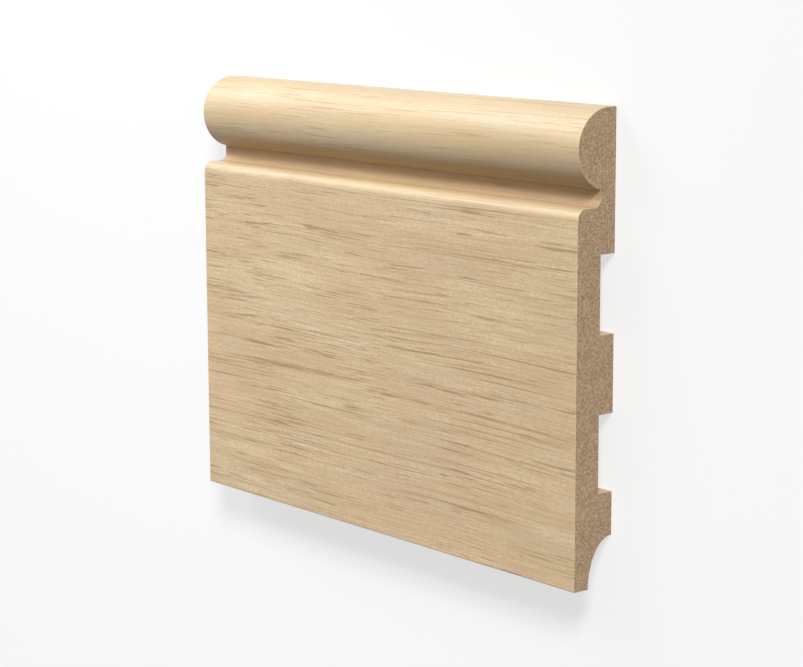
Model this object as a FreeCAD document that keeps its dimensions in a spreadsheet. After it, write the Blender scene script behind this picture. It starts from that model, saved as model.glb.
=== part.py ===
# Length of torus skirting board, machined from one piece of stock.
#
# The board lies on its back, as a loose length lies on a level floor.
# X runs along the length, +Y points to the torus edge and +Z points out of the face.
# The origin is under the middle of the board, on the plane of the back lands.

import FreeCAD, Part
import os
import Sketcher

NODE = "skirting_board"

# Driving sizes in millimetres. Heights run up the wall, from the bottom edge to the top of
# the torus. Depths run from the face, or for the channels from the back, into the board.
SIZES = [
    ("board_length", 194.0, "cut length"),
    ("board_height", 150.0, "bottom edge to the top of the torus"),
    ("board_thickness", 16.0, "face to back lands"),
    ("torus_radius", 12.75, "round nose, flush with the face and with the top edge"),
    ("quirk_depth", 9.7, "face to the wall at the root of the quirk"),
    ("quirk_wall", 2.7, "straight wall at the root, under the torus"),
    ("quirk_hollow_radius", 2.6, "hollow corner between the root wall and the ledge"),
    ("shoulder_radius", 3.6, "rounded shoulder where the ledge meets the face"),
    ("front_arris_radius", 0.5, "eased arris along the bottom of the face"),
    ("foot_thickness", 6.0, "what the cove leaves at the bottom edge"),
    ("cove_rise", 16.0, "height of the cove behind the foot"),
    ("channel_width", 25.0, "each relief channel in the back"),
    ("channel_depth", 6.0, "how far a channel is cut in from the back"),
    ("lower_channel_height", 30.0, "bottom edge to the lower channel"),
    ("channel_pitch", 50.0, "from one channel to the next"),
    ("channel_count", 2, "relief channels in the back"),
]

# Places on a piece of sketch geometry, and the sketch's own origin point.
START, END, CENTRE = 1, 2, 3
ORIGIN = (-1, 1)
ACROSS = -1

# Half way round a quarter turn, as a share of the radius.
MID_TURN = 0.5 ** 0.5


def make_sheet(doc):
    sheet = doc.addObject("Spreadsheet::Sheet", "Sizes")
    for row, (name, value, note) in enumerate(SIZES, start=1):
        sheet.set("A%d" % row, name)
        sheet.set("B%d" % row, str(value))
        sheet.set("C%d" % row, note)
        sheet.setAlias("B%d" % row, name)
    doc.recompute()
    return sheet


def origin_feature(body, role):
    return next(item for item in body.Origin.OriginFeatures if item.Role == role)


def new_sketch(body, name):
    """A sketch across the board: its x is the board's Y and its y is the board's Z."""
    sketch = body.newObject("Sketcher::SketchObject", name)
    sketch.AttachmentSupport = [(origin_feature(body, "YZ_Plane"), "")]
    sketch.MapMode = "FlatFace"
    return sketch


def line(sketch, start, end):
    ends = (FreeCAD.Vector(*start, 0), FreeCAD.Vector(*end, 0))
    return sketch.addGeometry(Part.LineSegment(*ends), False)


def arc(sketch, start, middle, end):
    points = [FreeCAD.Vector(*point, 0) for point in (start, middle, end)]
    return sketch.addGeometry(Part.Arc(*points), False)


def rule(sketch, *terms):
    return sketch.addConstraint(Sketcher.Constraint(*terms))


def size(sketch, name, expression, *terms):
    """A dimension of the sketch that follows the sheet."""
    sketch.renameConstraint(rule(sketch, *terms), name)
    sketch.setExpression("Constraints." + name, expression)


def join(sketch, kind, first, second):
    """Tie the ends at which two pieces of an outline meet, as a corner or a tangent."""
    pairs = [(one, other) for one in (START, END) for other in (START, END)]
    one, other = min(pairs, key=lambda pair: sketch.getPoint(first, pair[0]).distanceToPoint(
        sketch.getPoint(second, pair[1])))
    rule(sketch, kind, first, one, second, other)


def draw_moulding(body, sheet):
    """Outline of the face, torus and quirk on a plain back, from the back's bottom corner."""
    sketch = new_sketch(body, "MouldingSection")
    top = sheet.board_height / 2
    bottom = -top
    face = sheet.board_thickness
    torus = sheet.torus_radius
    hollow = sheet.quirk_hollow_radius
    shoulder = sheet.shoulder_radius
    arris = sheet.front_arris_radius
    root = face - sheet.quirk_depth
    nose_y = top - torus
    nose_z = face - torus
    nose_foot = nose_y - (torus ** 2 - (root - nose_z) ** 2) ** 0.5
    hollow_top = nose_foot - sheet.quirk_wall
    ledge = hollow_top - hollow

    back = line(sketch, (bottom, 0), (top, 0))
    top_edge = line(sketch, (top, 0), (top, nose_z))
    nose = arc(sketch, (top, nose_z), (nose_y, face), (nose_foot, root))
    root_wall = line(sketch, (nose_foot, root), (hollow_top, root))
    hollow_turn = arc(
        sketch,
        (hollow_top, root),
        (hollow_top - hollow * MID_TURN, root + hollow * (1 - MID_TURN)),
        (ledge, root + hollow),
    )
    ledge_line = line(sketch, (ledge, root + hollow), (ledge, face - shoulder))
    shoulder_turn = arc(
        sketch,
        (ledge, face - shoulder),
        (ledge - shoulder * (1 - MID_TURN), face - shoulder * (1 - MID_TURN)),
        (ledge - shoulder, face),
    )
    face_line = line(sketch, (ledge - shoulder, face), (bottom + arris, face))
    arris_turn = arc(
        sketch,
        (bottom + arris, face),
        (bottom + arris * (1 - MID_TURN), face - arris * (1 - MID_TURN)),
        (bottom, face - arris),
    )
    bottom_edge = line(sketch, (bottom, face - arris), (bottom, 0))

    for level in (back, root_wall, face_line):
        rule(sketch, "Horizontal", level)
    for upright in (top_edge, ledge_line, bottom_edge):
        rule(sketch, "Vertical", upright)

    join(sketch, "Coincident", back, top_edge)
    join(sketch, "Tangent", top_edge, nose)
    join(sketch, "Coincident", nose, root_wall)
    join(sketch, "Tangent", root_wall, hollow_turn)
    join(sketch, "Tangent", hollow_turn, ledge_line)
    join(sketch, "Tangent", ledge_line, shoulder_turn)
    join(sketch, "Tangent", shoulder_turn, face_line)
    join(sketch, "Tangent", face_line, arris_turn)
    join(sketch, "Tangent", arris_turn, bottom_edge)
    join(sketch, "Coincident", bottom_edge, back)

    rule(sketch, "PointOnObject", back, START, ACROSS)
    size(sketch, "HalfHeight", "Sizes.board_height / 2",
         "DistanceX", back, START, *ORIGIN, top)
    size(sketch, "Height", "Sizes.board_height",
         "DistanceX", back, START, back, END, 2 * top)
    size(sketch, "Thickness", "Sizes.board_thickness",
         "DistanceY", *ORIGIN, face_line, START, face)
    size(sketch, "NoseCentre", "Sizes.board_thickness - Sizes.torus_radius",
         "DistanceY", *ORIGIN, nose, CENTRE, nose_z)
    size(sketch, "Torus", "Sizes.torus_radius", "Radius", nose, torus)
    size(sketch, "QuirkRoot", "Sizes.board_thickness - Sizes.quirk_depth",
         "DistanceY", *ORIGIN, root_wall, START, root)
    size(sketch, "QuirkWall", "Sizes.quirk_wall",
         "DistanceX", root_wall, END, root_wall, START, sheet.quirk_wall)
    size(sketch, "QuirkHollow", "Sizes.quirk_hollow_radius", "Radius", hollow_turn, hollow)
    size(sketch, "Shoulder", "Sizes.shoulder_radius", "Radius", shoulder_turn, shoulder)
    size(sketch, "FrontArris", "Sizes.front_arris_radius", "Radius", arris_turn, arris)
    return sketch


def draw_cove(body, sheet):
    """The elliptical cutter, centred on the corner of the back and the bottom edge."""
    sketch = new_sketch(body, "CoveSection")
    rise = sheet.cove_rise
    reach = sheet.board_thickness - sheet.foot_thickness
    corner = FreeCAD.Vector(-sheet.board_height / 2, 0, 0)
    up_the_back = corner + FreeCAD.Vector(rise, 0, 0)
    into_the_board = corner + FreeCAD.Vector(0, reach, 0)

    # An ellipse is given by its longer half axis first, whichever way that lies.
    axes = [
        (rise, up_the_back, "Horizontal", "CoveRise", "2 * Sizes.cove_rise"),
        (reach, into_the_board, "Vertical", "CoveReach",
         "2 * (Sizes.board_thickness - Sizes.foot_thickness)"),
    ]
    axes.sort(key=lambda axis: axis[0], reverse=True)
    ends = [axis[1] for axis in axes]
    outline = sketch.addGeometry(Part.Ellipse(*ends, corner), False)
    sketch.exposeInternalGeometry(outline)

    rule(sketch, "PointOnObject", outline, CENTRE, ACROSS)
    size(sketch, "HalfHeight", "Sizes.board_height / 2",
         "DistanceX", outline, CENTRE, *ORIGIN, -corner.x)
    rule(sketch, axes[0][2], outline + 1)
    for offset, (half, end, lie, name, expression) in enumerate(axes, start=1):
        size(sketch, name, expression, "Distance", outline + offset, 2 * half)
    return sketch


def draw_channel(body, sheet):
    """The lower relief channel, square in section."""
    sketch = new_sketch(body, "ChannelSection")
    low = sheet.lower_channel_height - sheet.board_height / 2
    high = low + sheet.channel_width
    depth = sheet.channel_depth
    corners = [(low, 0), (high, 0), (high, depth), (low, depth)]
    mouth, upper, floor, lower = [
        line(sketch, start, end) for start, end in zip(corners, corners[1:] + corners[:1])
    ]
    for first, second in ((mouth, upper), (upper, floor), (floor, lower), (lower, mouth)):
        join(sketch, "Coincident", first, second)
    for level in (mouth, floor):
        rule(sketch, "Horizontal", level)
    for upright in (upper, lower):
        rule(sketch, "Vertical", upright)
    rule(sketch, "PointOnObject", mouth, START, ACROSS)
    size(sketch, "FromMiddle", "Sizes.lower_channel_height - Sizes.board_height / 2",
         "DistanceX", *ORIGIN, mouth, START, low)
    size(sketch, "Width", "Sizes.channel_width", "DistanceX", mouth, START, mouth, END, high - low)
    size(sketch, "Depth", "Sizes.channel_depth", "DistanceY", upper, START, upper, END, depth)
    return sketch


def cut_along(body, name, sketch):
    """Run a cutter of the sketched section from end to end of the board."""
    pocket = body.newObject("PartDesign::Pocket", name)
    pocket.Profile = sketch
    pocket.SideType = "Symmetric"
    pocket.Type = "ThroughAll"
    return pocket


def make_board(doc, sheet):
    body = doc.addObject("PartDesign::Body", "SkirtingBoard")
    body.Label = NODE

    moulding = body.newObject("PartDesign::Pad", "Moulding")
    moulding.Profile = draw_moulding(body, sheet)
    moulding.SideType = "Symmetric"
    moulding.setExpression("Length", "Sizes.board_length")
    doc.recompute()

    cove = cut_along(body, "Cove", draw_cove(body, sheet))
    doc.recompute()

    channel = cut_along(body, "ReliefChannel", draw_channel(body, sheet))
    doc.recompute()

    channels = body.newObject("PartDesign::LinearPattern", "ReliefChannels")
    channels.Originals = [channel]
    channels.Direction = (origin_feature(body, "Y_Axis"), [""])
    channels.Mode = "Spacing"
    channels.setExpression("Offset", "Sizes.channel_pitch")
    channels.setExpression("Occurrences", "Sizes.channel_count")
    body.Tip = channels
    doc.recompute()

    for cut in (cove, channel, channels):
        if not cut.Shape.Volume < cut.BaseFeature.Shape.Volume:
            raise RuntimeError(cut.Name + " takes nothing off the board")
    body.Placement = FreeCAD.Placement()
    return body


def check(doc, body):
    for item in doc.Objects:
        if "Invalid" in item.State or "Error" in item.State:
            raise RuntimeError(item.Name + " failed: " + ", ".join(item.State))
    for item in doc.Objects:
        if item.isDerivedFrom("Sketcher::SketchObject") and not item.FullyConstrained:
            raise RuntimeError(item.Name + " is not fully constrained")
    if body.Shape.isNull() or not body.Shape.isValid():
        raise RuntimeError(body.Label + " has no valid shape")
    if len(body.Shape.Solids) != 1:
        raise RuntimeError(body.Label + " is not one solid")


def main():
    doc = FreeCAD.newDocument("TorusSkirting")
    sheet = make_sheet(doc)
    board = make_board(doc, sheet)
    doc.recompute()
    check(doc, board)
    os.makedirs("parts", exist_ok=True)
    board.Shape.exportStep("parts/" + board.Label + ".step")
    box = board.Shape.BoundBox
    print(board.Label, "%.3f x %.3f x %.3f mm" % (box.XLength, box.YLength, box.ZLength),
          "%.1f mm3" % board.Shape.Volume)


main()
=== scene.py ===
# Looks of a short length of torus skirting board, machined from oak.
#
# Metres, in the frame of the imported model: X runs along the board, +Y points to the torus
# edge and +Z out of the face. The board lies on its back and the camera looks down on it.

import math

import bmesh
import bpy
from mathutils import Matrix, Vector


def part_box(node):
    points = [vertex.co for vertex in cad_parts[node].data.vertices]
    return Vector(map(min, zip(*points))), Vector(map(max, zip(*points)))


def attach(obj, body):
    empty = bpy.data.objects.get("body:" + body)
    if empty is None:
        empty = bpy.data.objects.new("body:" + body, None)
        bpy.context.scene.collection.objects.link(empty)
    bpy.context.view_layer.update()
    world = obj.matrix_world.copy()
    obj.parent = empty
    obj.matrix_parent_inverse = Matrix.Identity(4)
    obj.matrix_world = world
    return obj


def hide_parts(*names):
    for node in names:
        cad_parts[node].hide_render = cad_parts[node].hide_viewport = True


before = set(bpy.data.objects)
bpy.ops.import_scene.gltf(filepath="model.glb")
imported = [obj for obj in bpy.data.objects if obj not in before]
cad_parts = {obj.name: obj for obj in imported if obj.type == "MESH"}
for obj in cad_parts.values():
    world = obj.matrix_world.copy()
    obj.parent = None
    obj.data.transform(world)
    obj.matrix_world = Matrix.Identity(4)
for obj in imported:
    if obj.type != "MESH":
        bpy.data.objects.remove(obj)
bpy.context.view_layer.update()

NODE = "skirting_board"
BOARD_LOW, BOARD_HIGH = (Vector(corner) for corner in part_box(NODE))
MM = 0.001

# The section, as the cutters leave it, in metres. Heights run up from the bottom edge.
BOTTOM = BOARD_LOW.y
TOP = BOARD_HIGH.y
BACK = BOARD_LOW.z
FACE = BOARD_HIGH.z
TORUS_RADIUS = 12.75 * MM
QUIRK_DEPTH = 9.7 * MM
QUIRK_WALL = 2.7 * MM
HOLLOW_RADIUS = 2.6 * MM
SHOULDER_RADIUS = 3.6 * MM
FRONT_ARRIS_RADIUS = 0.5 * MM
FOOT_THICKNESS = 6.0 * MM
COVE_RISE = 16.0 * MM
CHANNEL_WIDTH = 25.0 * MM
CHANNEL_DEPTH = 6.0 * MM
LOWER_CHANNEL_HEIGHT = 30.0 * MM
CHANNEL_PITCH = 50.0 * MM
CHANNEL_COUNT = 2

# How finely each round of the section is cut, in steps from one end to the other.
TORUS_STEPS = 72
HOLLOW_STEPS = 12
SHOULDER_STEPS = 18
FRONT_ARRIS_STEPS = 5
COVE_STEPS = 28

# Sharp arrises are only rubbed over with fine paper. Edges that turn outwards by more than
# the first angle are rubbed, and those that still turn by the second part the shading.
ARRIS = 0.15 * MM
ARRIS_STEPS = 2
RUBBED_PAST = math.radians(40)
PARTED_PAST = math.radians(50)

# How far apart the fibres turn, and how far they wander up and down, in millimetres.
WANDER_MM = 80.0
WANDER_BY_MM = 3.0

# The figure of the oak. Each pattern is noise drawn out along the fibres: its length and
# width in millimetres, its detail, and the noise that counts as none and as all of it.
# Pores lie where the noise is low. Real pores and fibres are about half as wide as these,
# which are coarse enough to show.
OAK_PATTERNS = {
    "rows": (70.0, 4.0, 1.0, 0.35, 0.65),
    "long_pores": (150.0, 0.54, 2.0, 0.34, 0.28),
    "short_pores": (20.0, 0.50, 2.0, 0.34, 0.28),
    "fibres": (30.0, 0.70, 2.0, 0.25, 0.75),
    "flecks": (1.5, 0.55, 1.0, 0.25, 0.75),
    "bands": (90.0, 8.0, 3.0, 0.30, 0.70),
    "blush": (60.0, 20.0, 2.0, 0.35, 0.70),
    "greying": (50.0, 16.0, 2.0, 0.40, 0.70),
}
ROW_PULL = 0.08

# Where the finish changes and where shade is painted, in millimetres from the middle of the board
# and from its back. The profiled cutter burnishes all that lies above the flat face, and shade is
# painted over it there. Shade is also painted into the bottom of the quirk: below the swell of
# the torus, and above the ledge or deep in on it.
BURNISHED_AND_SHADED_ABOVE_MM = (39.5, 42.0)
QUIRK_SHADE_BELOW_MM = (58.0, 51.0)
QUIRK_SHADE_ABOVE_MM = (44.6, 45.4)
QUIRK_SHADE_DEEPER_MM = (11.2, 9.4)

# What that does on the flat face and on the burnished wood: how much of the grain still
# shows through the seal, and how rough the seal is. The quirk with its painted shade, and open
# pores, are duller.
GRAIN_SHOWN = (0.66, 0.36)
SEAL_ROUGHNESS = (0.45, 0.38)
QUIRK_DULLING = 0.15
PORE_DULLING = 0.3

# How deep the grain and the marks of the tools go, in metres.
SANDED_RELIEF = 0.02 * MM
PLANED_RELIEF = 0.03 * MM
SAWN_RELIEF = 0.05 * MM

# Marks of the tools on the bare wood, in millimetres: grit of the torn end grain, arcs of
# the crosscut saw about its centre, and the ripple that the planer's knives leave.
END_GRIT_MM = 0.8
SAW_STEP_MM = 1.3
SAW_CENTRE_MM = (0.0, 60.0, 140.0)
KNIFE_STEP_MM = 2.4

# The floor: half its side, how far it lies below the board, and how far the white of the
# background fills the shadow on it.
FLOOR_REACH = 3.0
FLOOR_GAP = 0.1 * MM
SHADOW_LIFT = 0.68

# Light that comes from all round, where 1 is what the camera sees as white.
ROOM_LIGHT = 0.12

# The camera, as if the board stood against a wall: turned round from square on to the face,
# and raised above the horizontal. The aim is a point of the board, from its origin.
LENS_MM = 103.83
SENSOR_MM = 36.0
NEAREST_SEEN = 0.01
CAMERA_TURN = math.radians(49.97)
CAMERA_RISE = math.radians(10.05)
CAMERA_ROLL = math.radians(-0.20)
CAMERA_DISTANCE = 783.2 * MM
CAMERA_AIM = Vector((2.75, -6.89, 6.33)) * MM


def linear(code):
    """An sRGB hex colour as linear light."""
    channels = [int(code[start:start + 2], 16) / 255 for start in (1, 3, 5)]
    return [c / 12.92 if c <= 0.04045 else ((c + 0.055) / 1.055) ** 2.4 for c in channels] + [1.0]


def add(tree, kind, inputs=None, **settings):
    """Add a node with its settings, its values and its links."""
    made = tree.nodes.new("ShaderNode" + kind)
    for name, value in settings.items():
        setattr(made, name, value)
    for name, value in (inputs or {}).items():
        if isinstance(value, bpy.types.NodeSocket):
            tree.links.new(value, made.inputs[name])
        else:
            made.inputs[name].default_value = value
    return made


def new_material(name):
    """An empty material and its node tree."""
    material = bpy.data.materials.new(name)
    material.use_nodes = True
    material.node_tree.nodes.clear()
    return material, material.node_tree


def turn(bm, vert, centre, angle, steps):
    """Spin one corner about an axis along the board and give the far end of the arc."""
    made = bmesh.ops.spin(
        bm, geom=[vert], cent=centre, axis=(1, 0, 0), dvec=(0, 0, 0),
        angle=angle, steps=steps, use_merge=False, use_duplicate=False,
    )
    return next(item for item in made["geom_last"] if isinstance(item, bmesh.types.BMVert))


def cut_section(bm, x):
    """The section of the board as one flat face."""
    def corner(y, z):
        return bm.verts.new((x, y, z))

    def straight(*verts):
        for one, other in zip(verts, verts[1:]):
            bm.edges.new((one, other))

    nose_centre = Vector((x, TOP - TORUS_RADIUS, FACE - TORUS_RADIUS))
    root = FACE - QUIRK_DEPTH
    sweep = math.pi - math.asin((root - nose_centre.z) / TORUS_RADIUS)
    nose_start = corner(TOP, nose_centre.z)
    nose_end = turn(bm, nose_start, nose_centre, sweep, TORUS_STEPS)

    hollow = corner(nose_end.co.y - QUIRK_WALL - HOLLOW_RADIUS, root)
    shoulder = corner(hollow.co.y, FACE)
    front_arris = corner(BOTTOM, FACE)

    # A round cove is turned first, and then drawn in to what the foot leaves of the board.
    reach = FACE - BACK - FOOT_THICKNESS
    cove_corner = Vector((x, BOTTOM, BACK))
    before = set(bm.verts)
    cove_start = corner(BOTTOM, BACK + COVE_RISE)
    cove_end = turn(bm, cove_start, cove_corner, -math.pi / 2, COVE_STEPS)
    bmesh.ops.scale(
        bm, vec=(1, 1, reach / COVE_RISE), space=Matrix.Translation(-cove_corner),
        verts=[vert for vert in bm.verts if vert not in before],
    )

    back = [cove_end]
    for index in range(CHANNEL_COUNT):
        low = BOTTOM + LOWER_CHANNEL_HEIGHT + index * CHANNEL_PITCH
        high = low + CHANNEL_WIDTH
        floor = BACK + CHANNEL_DEPTH
        back += [corner(low, BACK), corner(low, floor), corner(high, floor), corner(high, BACK)]
    straight(*back, corner(TOP, BACK), nose_start)
    straight(nose_end, hollow, shoulder, front_arris, cove_start)

    face = bmesh.ops.contextual_create(bm, geom=list(bm.edges))["faces"][0]
    rounds = (
        (hollow, HOLLOW_RADIUS, HOLLOW_STEPS),
        (shoulder, SHOULDER_RADIUS, SHOULDER_STEPS),
        (front_arris, FRONT_ARRIS_RADIUS, FRONT_ARRIS_STEPS),
    )
    for vert, radius, segments in rounds:
        bmesh.ops.bevel(
            bm, geom=[vert], offset=radius, offset_type="OFFSET", affect="VERTICES",
            segments=segments, profile=0.5, material=-1,
        )
    return face


def lies_on_an_end(face):
    """Whether a face is one of the two sawn ends."""
    return abs(face.normal.x) > 0.5


def lies_on_the_back(face):
    """Whether a face is one of the lands, the channels or the cove."""
    place = face.calc_center_median()
    in_a_channel = BACK < place.z < BACK + CHANNEL_DEPTH and BOTTOM < place.y < TOP - MM
    return face.normal.z < -0.5 or in_a_channel


def make_board(face_finish, end_finish, back_finish):
    """Run the section along the board, sort its faces by finish and rub its arrises."""
    bm = bmesh.new()
    arris = bm.faces.layers.float.new("arris")
    cut_section(bm, BOARD_LOW.x)
    run = bmesh.ops.extrude_face_region(bm, geom=list(bm.faces))
    moved = [item for item in run["geom"] if isinstance(item, bmesh.types.BMVert)]
    bmesh.ops.translate(bm, vec=(BOARD_HIGH.x - BOARD_LOW.x, 0, 0), verts=moved)
    bmesh.ops.recalc_face_normals(bm, faces=bm.faces)

    finishes = [face_finish, end_finish, back_finish]
    for face in bm.faces:
        face.smooth = True
        if lies_on_an_end(face):
            face.material_index = finishes.index(end_finish)
        elif lies_on_the_back(face):
            face.material_index = finishes.index(back_finish)

    sharp = [edge for edge in bm.edges
             if edge.is_convex and edge.calc_face_angle() > RUBBED_PAST]
    eased = bmesh.ops.bevel(
        bm, geom=sharp, offset=ARRIS, offset_type="OFFSET", affect="EDGES",
        segments=ARRIS_STEPS, profile=0.5, material=-1,
    )
    for face in eased["faces"]:
        face[arris] = 1.0
    for edge in bm.edges:
        edge.smooth = edge.calc_face_angle() < PARTED_PAST

    mesh = bpy.data.meshes.new("torus_board")
    bm.to_mesh(mesh)
    bm.free()
    for finish in finishes:
        mesh.materials.append(finish)
    board = bpy.data.objects.new("torus_board", mesh)
    bpy.context.scene.collection.objects.link(board)
    # The wide faces keep their own normals right up to the narrow rounds beside them.
    flats = board.modifiers.new("flat_faces", "WEIGHTED_NORMAL")
    flats.mode = "FACE_AREA"
    flats.keep_sharp = True
    return board


def oak_figure(tree):
    """How the wood is laid inside the board, from the place in it in millimetres."""
    place = add(tree, "TexCoord")
    mm = add(tree, "VectorMath", {0: place.outputs["Object"], "Scale": 1 / MM}, operation="SCALE")
    wander = add(tree, "TexNoise", {"Vector": mm.outputs[0], "Scale": 1 / WANDER_MM, "Detail": 0.5})
    lean = add(tree, "VectorMath", {0: wander.outputs["Color"], 1: (0.5, 0.5, 0.5)},
               operation="SUBTRACT")
    along = add(tree, "VectorMath", {0: lean.outputs[0], 1: (0.0, WANDER_BY_MM, WANDER_BY_MM),
                                     2: mm.outputs[0]}, operation="MULTIPLY_ADD")

    oak = {"place": mm.outputs[0]}
    for name, (length, width, detail, none, full) in OAK_PATTERNS.items():
        drawn = add(tree, "VectorMath", {0: along.outputs[0],
                                         1: (1 / length, 1 / width, 1 / width)},
                    operation="MULTIPLY")
        noise = add(tree, "TexNoise", {"Vector": drawn.outputs[0], "Scale": 1.0,
                                       "Detail": detail, "Roughness": 0.5})
        value = noise.outputs["Fac"]
        if name.endswith("pores"):
            # Pores crowd together in the rows of the early wood.
            crowded = add(tree, "Math", {0: oak["rows"], 1: -ROW_PULL, 2: value},
                          operation="MULTIPLY_ADD")
            value = crowded.outputs[0]
        shown = add(tree, "MapRange", {"Value": value, "From Min": none, "From Max": full},
                    interpolation_type="SMOOTHSTEP")
        oak[name] = shown.outputs[0]

    pores = add(tree, "Math", {0: oak["long_pores"], 1: oak["short_pores"]}, operation="MAXIMUM")
    oak["pores"] = pores.outputs[0]
    # Paper rubs the arrises pale, more where the fibres stand up.
    arris = add(tree, "Attribute", attribute_name="arris")
    rubbed = add(tree, "Math", {0: arris.outputs["Fac"], 1: oak["fibres"]}, operation="MULTIPLY")
    oak["rubbed"] = rubbed.outputs[0]
    return oak


def lay_colours(tree, ground, layers):
    """Lay each colour over the last, by its pattern and by how strong it is."""
    for pattern, strength, code in layers:
        cover = add(tree, "Math", {0: pattern, 1: strength}, operation="MULTIPLY")
        laid = add(tree, "Mix", {"Factor": cover.outputs[0], "A": ground, "B": linear(code)},
                   data_type="RGBA")
        ground = laid.outputs["Result"]
    return ground


def wave_scale(step):
    """The scale at which a wave node repeats at each step, because at 1 it does at pi / 10."""
    return math.pi / 10 / step


def machined_oak():
    """Oak off the moulder, sanded and sealed: dark pores on a pale ground, with a satin sheen."""
    material, tree = new_material("machined_oak")
    oak = oak_figure(tree)
    place = add(tree, "SeparateXYZ", {"Vector": oak["place"]})
    burnish_and_shade = add(tree, "MapRange", {"Value": place.outputs["Y"],
                                     "From Min": BURNISHED_AND_SHADED_ABOVE_MM[0],
                                     "From Max": BURNISHED_AND_SHADED_ABOVE_MM[1]})
    # Where shade is painted in the bottom of the quirk: below the torus, and above the ledge or
    # deep in on it.
    below = add(tree, "MapRange", {"Value": place.outputs["Y"],
                                   "From Min": QUIRK_SHADE_BELOW_MM[0],
                                   "From Max": QUIRK_SHADE_BELOW_MM[1]},
                interpolation_type="SMOOTHSTEP")
    above = add(tree, "MapRange", {"Value": place.outputs["Y"],
                                   "From Min": QUIRK_SHADE_ABOVE_MM[0],
                                   "From Max": QUIRK_SHADE_ABOVE_MM[1]},
                interpolation_type="SMOOTHSTEP")
    deeper = add(tree, "MapRange", {"Value": place.outputs["Z"],
                                    "From Min": QUIRK_SHADE_DEEPER_MM[0],
                                    "From Max": QUIRK_SHADE_DEEPER_MM[1]},
                 interpolation_type="SMOOTHSTEP")
    held = add(tree, "Math", {0: above.outputs[0], 1: deeper.outputs[0]}, operation="MAXIMUM")
    quirk_shade = add(tree, "Math", {0: below.outputs[0], 1: held.outputs[0]}, operation="MULTIPLY")
    showing = add(tree, "MapRange", {"Value": burnish_and_shade.outputs[0],
                                     "To Min": GRAIN_SHOWN[0], "To Max": GRAIN_SHOWN[1]})
    for pattern in ("pores", "fibres", "flecks"):
        closed = add(tree, "Math", {0: oak[pattern], 1: showing.outputs[0]}, operation="MULTIPLY")
        oak[pattern] = closed.outputs[0]

    colour = lay_colours(tree, linear("#DEC99E"), (
        (oak["bands"], 1.00, "#EFDFBA"),
        (oak["blush"], 0.50, "#EFCBA4"),
        (oak["greying"], 0.50, "#D3C5A6"),
        # Painted shade: the burnished torus, quirk and shoulder are laid darker and yellower, which
        # tones down their light.
        (burnish_and_shade.outputs[0], 0.35, "#C3AC7E"),
        (oak["fibres"], 0.90, "#CAA57C"),
        (oak["flecks"], 0.75, "#CAA57C"),
        (oak["pores"], 0.90, "#967248"),
        # Painted shade: the bottom of the quirk, under the torus, is laid darker.
        (quirk_shade.outputs[0], 0.40, "#926C42"),
        (oak["rubbed"], 0.60, "#F2E3C9"),
    ))
    satin = add(tree, "MapRange", {"Value": burnish_and_shade.outputs[0],
                                   "To Min": SEAL_ROUGHNESS[0], "To Max": SEAL_ROUGHNESS[1]})
    dulled = add(tree, "Math", {0: quirk_shade.outputs[0], 1: QUIRK_DULLING, 2: satin.outputs[0]},
                 operation="MULTIPLY_ADD")
    roughness = add(tree, "Math", {0: oak["pores"], 1: PORE_DULLING, 2: dulled.outputs[0]},
                    operation="MULTIPLY_ADD")
    # Fibres sink less than a third as deep as pores.
    sunk_fibres = add(tree, "Math", {0: oak["fibres"], 1: -0.3}, operation="MULTIPLY")
    relief = add(tree, "Math", {0: oak["pores"], 1: -1.0, 2: sunk_fibres.outputs[0]},
                 operation="MULTIPLY_ADD")
    bump = add(tree, "Bump", {"Height": relief.outputs[0], "Distance": SANDED_RELIEF})
    shader = add(tree, "BsdfPrincipled", {
        "Base Color": colour, "Roughness": roughness.outputs[0], "Normal": bump.outputs[0],
    })
    add(tree, "OutputMaterial", {"Surface": shader.outputs[0]})
    return material


def planed_oak_back():
    """Back, channels and cove straight off the planer: bare and so paler than the sealed
    face, dull, with the faint ripple of the knives across the grain."""
    material, tree = new_material("planed_oak_back")
    oak = oak_figure(tree)
    colour = lay_colours(tree, linear("#E1C8A7"), (
        (oak["bands"], 1.00, "#F3DFC5"),
        (oak["fibres"], 0.40, "#CEAF8A"),
        (oak["flecks"], 0.30, "#CEAF8A"),
        (oak["pores"], 0.65, "#9D7D5A"),
        (oak["rubbed"], 0.60, "#F6EBD8"),
    ))
    ripple = add(tree, "TexWave", {"Vector": oak["place"], "Scale": wave_scale(KNIFE_STEP_MM),
                                   "Distortion": 0.8, "Detail": 1.0, "Detail Scale": 0.3},
                 wave_type="BANDS", bands_direction="X")
    height = add(tree, "Math", {0: oak["pores"], 1: -1.0, 2: ripple.outputs["Fac"]},
                 operation="MULTIPLY_ADD")
    bump = add(tree, "Bump", {"Height": height.outputs[0], "Distance": PLANED_RELIEF})
    shader = add(tree, "BsdfPrincipled", {
        "Base Color": colour, "Roughness": 0.75, "Normal": bump.outputs[0],
    })
    add(tree, "OutputMaterial", {"Surface": shader.outputs[0]})
    return material


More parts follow.
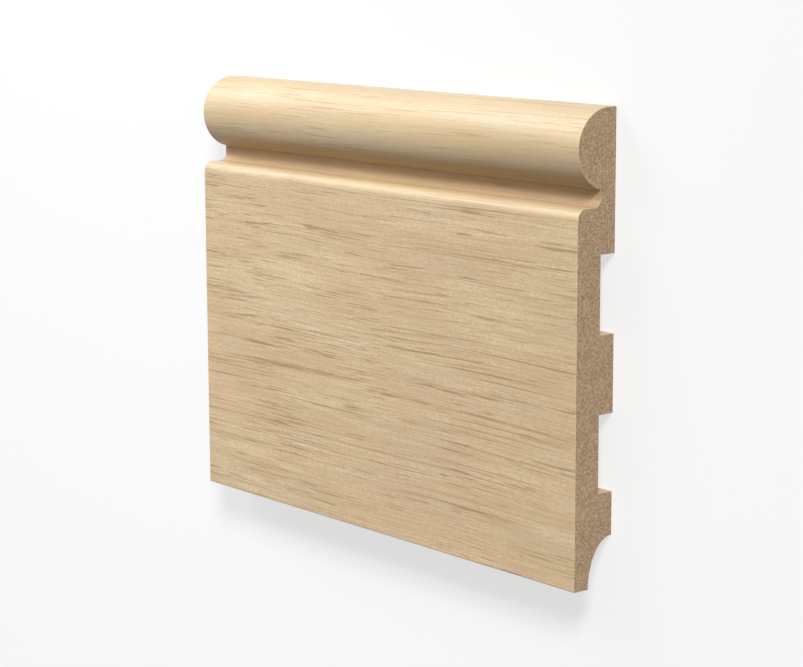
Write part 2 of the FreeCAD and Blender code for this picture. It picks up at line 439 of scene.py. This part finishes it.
def sawn_oak_end():
    """End grain off the crosscut saw: rough, thirsty and darker, every pore a dot, with the
    faint arcs of the blade."""
    material, tree = new_material("sawn_oak_end")
    oak = oak_figure(tree)
    grit = add(tree, "TexNoise", {"Vector": oak["place"], "Scale": 1 / END_GRIT_MM,
                                  "Detail": 3.0, "Roughness": 0.6})
    torn = add(tree, "MapRange", {"Value": grit.outputs["Fac"], "From Min": 0.28,
                                  "From Max": 0.72})
    from_saw = add(tree, "VectorMath", {0: oak["place"], 1: SAW_CENTRE_MM}, operation="SUBTRACT")
    arcs = add(tree, "TexWave", {"Vector": from_saw.outputs[0], "Scale": wave_scale(SAW_STEP_MM),
                                 "Distortion": 2.0, "Detail": 2.0, "Detail Scale": 0.4},
               wave_type="RINGS", rings_direction="X")
    colour = lay_colours(tree, linear("#9E7C57"), (
        (torn.outputs[0], 1.00, "#D9BF9F"),
        (oak["pores"], 0.60, "#7C6041"),
        (arcs.outputs["Fac"], 0.12, "#7C6041"),
        (oak["rubbed"], 0.50, "#DCC7A8"),
    ))
    height = add(tree, "Math", {0: arcs.outputs["Fac"], 1: -0.5, 2: torn.outputs[0]},
                 operation="MULTIPLY_ADD")
    bump = add(tree, "Bump", {"Height": height.outputs[0], "Distance": SAWN_RELIEF})
    shader = add(tree, "BsdfPrincipled", {
        "Base Color": colour, "Roughness": 0.85, "Normal": bump.outputs[0],
    })
    add(tree, "OutputMaterial", {"Surface": shader.outputs[0]})
    return material


def seen_plainly(tree):
    """1 where the camera sees the surroundings, itself or in a gloss, and 0 for their light."""
    path = add(tree, "LightPath")
    seen = add(tree, "Math", {0: path.outputs["Is Camera Ray"], 1: path.outputs["Is Glossy Ray"]},
               operation="MAXIMUM")
    return seen.outputs[0]


def white_paper():
    """Floor that shows white with a light shadow, and throws only a little light back."""
    material, tree = new_material("white_paper_sweep")
    seen = seen_plainly(tree)
    colour = add(tree, "Mix", {"Factor": seen, "A": linear("#909090"), "B": linear("#FFFFFF")},
                 data_type="RGBA")
    paper = add(tree, "BsdfDiffuse", {"Color": colour.outputs["Result"]})
    glow = add(tree, "Emission", {"Color": linear("#FFFFFF"), "Strength": 1.0})
    share = add(tree, "Math", {0: seen, 1: SHADOW_LIFT}, operation="MULTIPLY")
    lift = add(tree, "MixShader", {0: share.outputs[0], 1: paper.outputs[0], 2: glow.outputs[0]})
    add(tree, "OutputMaterial", {"Surface": lift.outputs[0]})
    return material


def make_floor():
    """A wide flat sheet under the board."""
    bm = bmesh.new()
    bmesh.ops.create_grid(bm, x_segments=1, y_segments=1, size=FLOOR_REACH)
    bmesh.ops.translate(bm, vec=(0, 0, BACK - FLOOR_GAP), verts=bm.verts)
    mesh = bpy.data.meshes.new("floor")
    bm.to_mesh(mesh)
    bm.free()
    mesh.materials.append(white_paper())
    floor = bpy.data.objects.new("floor", mesh)
    bpy.context.scene.collection.objects.link(floor)


def hang_sun(name, towards, level, softness, colour="#FFFFFF"):
    """A far soft lamp: level 1 square on to a surface shows its colour as it is written."""
    lamp = bpy.data.lights.new(name, "SUN")
    lamp.color = linear(colour)[:3]
    lamp.energy = level * math.pi
    lamp.angle = math.radians(softness)
    aim_lamp(name, lamp, towards)


def hang_softbox(name, place, level, width):
    """A near square softbox that looks at the board, with the same level at its middle."""
    lamp = bpy.data.lights.new(name, "AREA")
    lamp.size = width
    lamp.energy = level * math.pi ** 2 * Vector(place).length_squared
    aim_lamp(name, lamp, place)


def aim_lamp(name, lamp, place):
    """Hang a lamp at a place and turn it to the middle of the board."""
    holder = bpy.data.objects.new(name, lamp)
    holder.location = place
    holder.rotation_euler = Vector(place).to_track_quat("Z", "Y").to_euler()
    bpy.context.scene.collection.objects.link(holder)


def light_the_room():
    """A key lamp, a cool sheen along the torus, a fill at the left and a little room light."""
    hang_sun("key_over_the_torus", towards=(0.72, 0.84, 0.68), level=0.99, softness=16)
    hang_sun("sheen_from_behind", towards=(-0.75, 0.62, 0.12), level=0.30, softness=40,
             colour="#E2EEFF")
    hang_softbox("fill_at_the_left", place=(-0.22, 0.34, 0.31), level=0.36, width=0.3)
    world = bpy.data.worlds.new("studio")
    world.use_nodes = True
    tree = world.node_tree
    tree.nodes.clear()
    strength = add(tree, "Mix", {"Factor": seen_plainly(tree), "A": ROOM_LIGHT, "B": 1.0})
    sky = add(tree, "Background", {"Color": linear("#FFFFFF"), "Strength": strength.outputs[0]})
    add(tree, "OutputWorld", {"Surface": sky.outputs[0]})
    bpy.context.scene.world = world


def place_camera():
    """Square on to the face with the torus upwards, then raised, turned and rolled."""
    lens = bpy.data.cameras.new("camera")
    lens.sensor_width = SENSOR_MM
    lens.lens = LENS_MM
    lens.clip_start = NEAREST_SEEN
    camera = bpy.data.objects.new("camera", lens)
    stance = (Matrix.Rotation(CAMERA_TURN, 4, "Y")
              @ Matrix.Rotation(-CAMERA_RISE, 4, "X")
              @ Matrix.Rotation(CAMERA_ROLL, 4, "Z"))
    camera.matrix_world = (Matrix.Translation(CAMERA_AIM) @ stance
                           @ Matrix.Translation((0, 0, CAMERA_DISTANCE)))
    bpy.context.scene.collection.objects.link(camera)
    bpy.context.scene.camera = camera


board = make_board(machined_oak(), sawn_oak_end(), planed_oak_back())
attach(board, "root")
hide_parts(NODE)

make_floor()
light_the_room()
place_camera()
bpy.context.scene.view_settings.view_transform = "Standard"
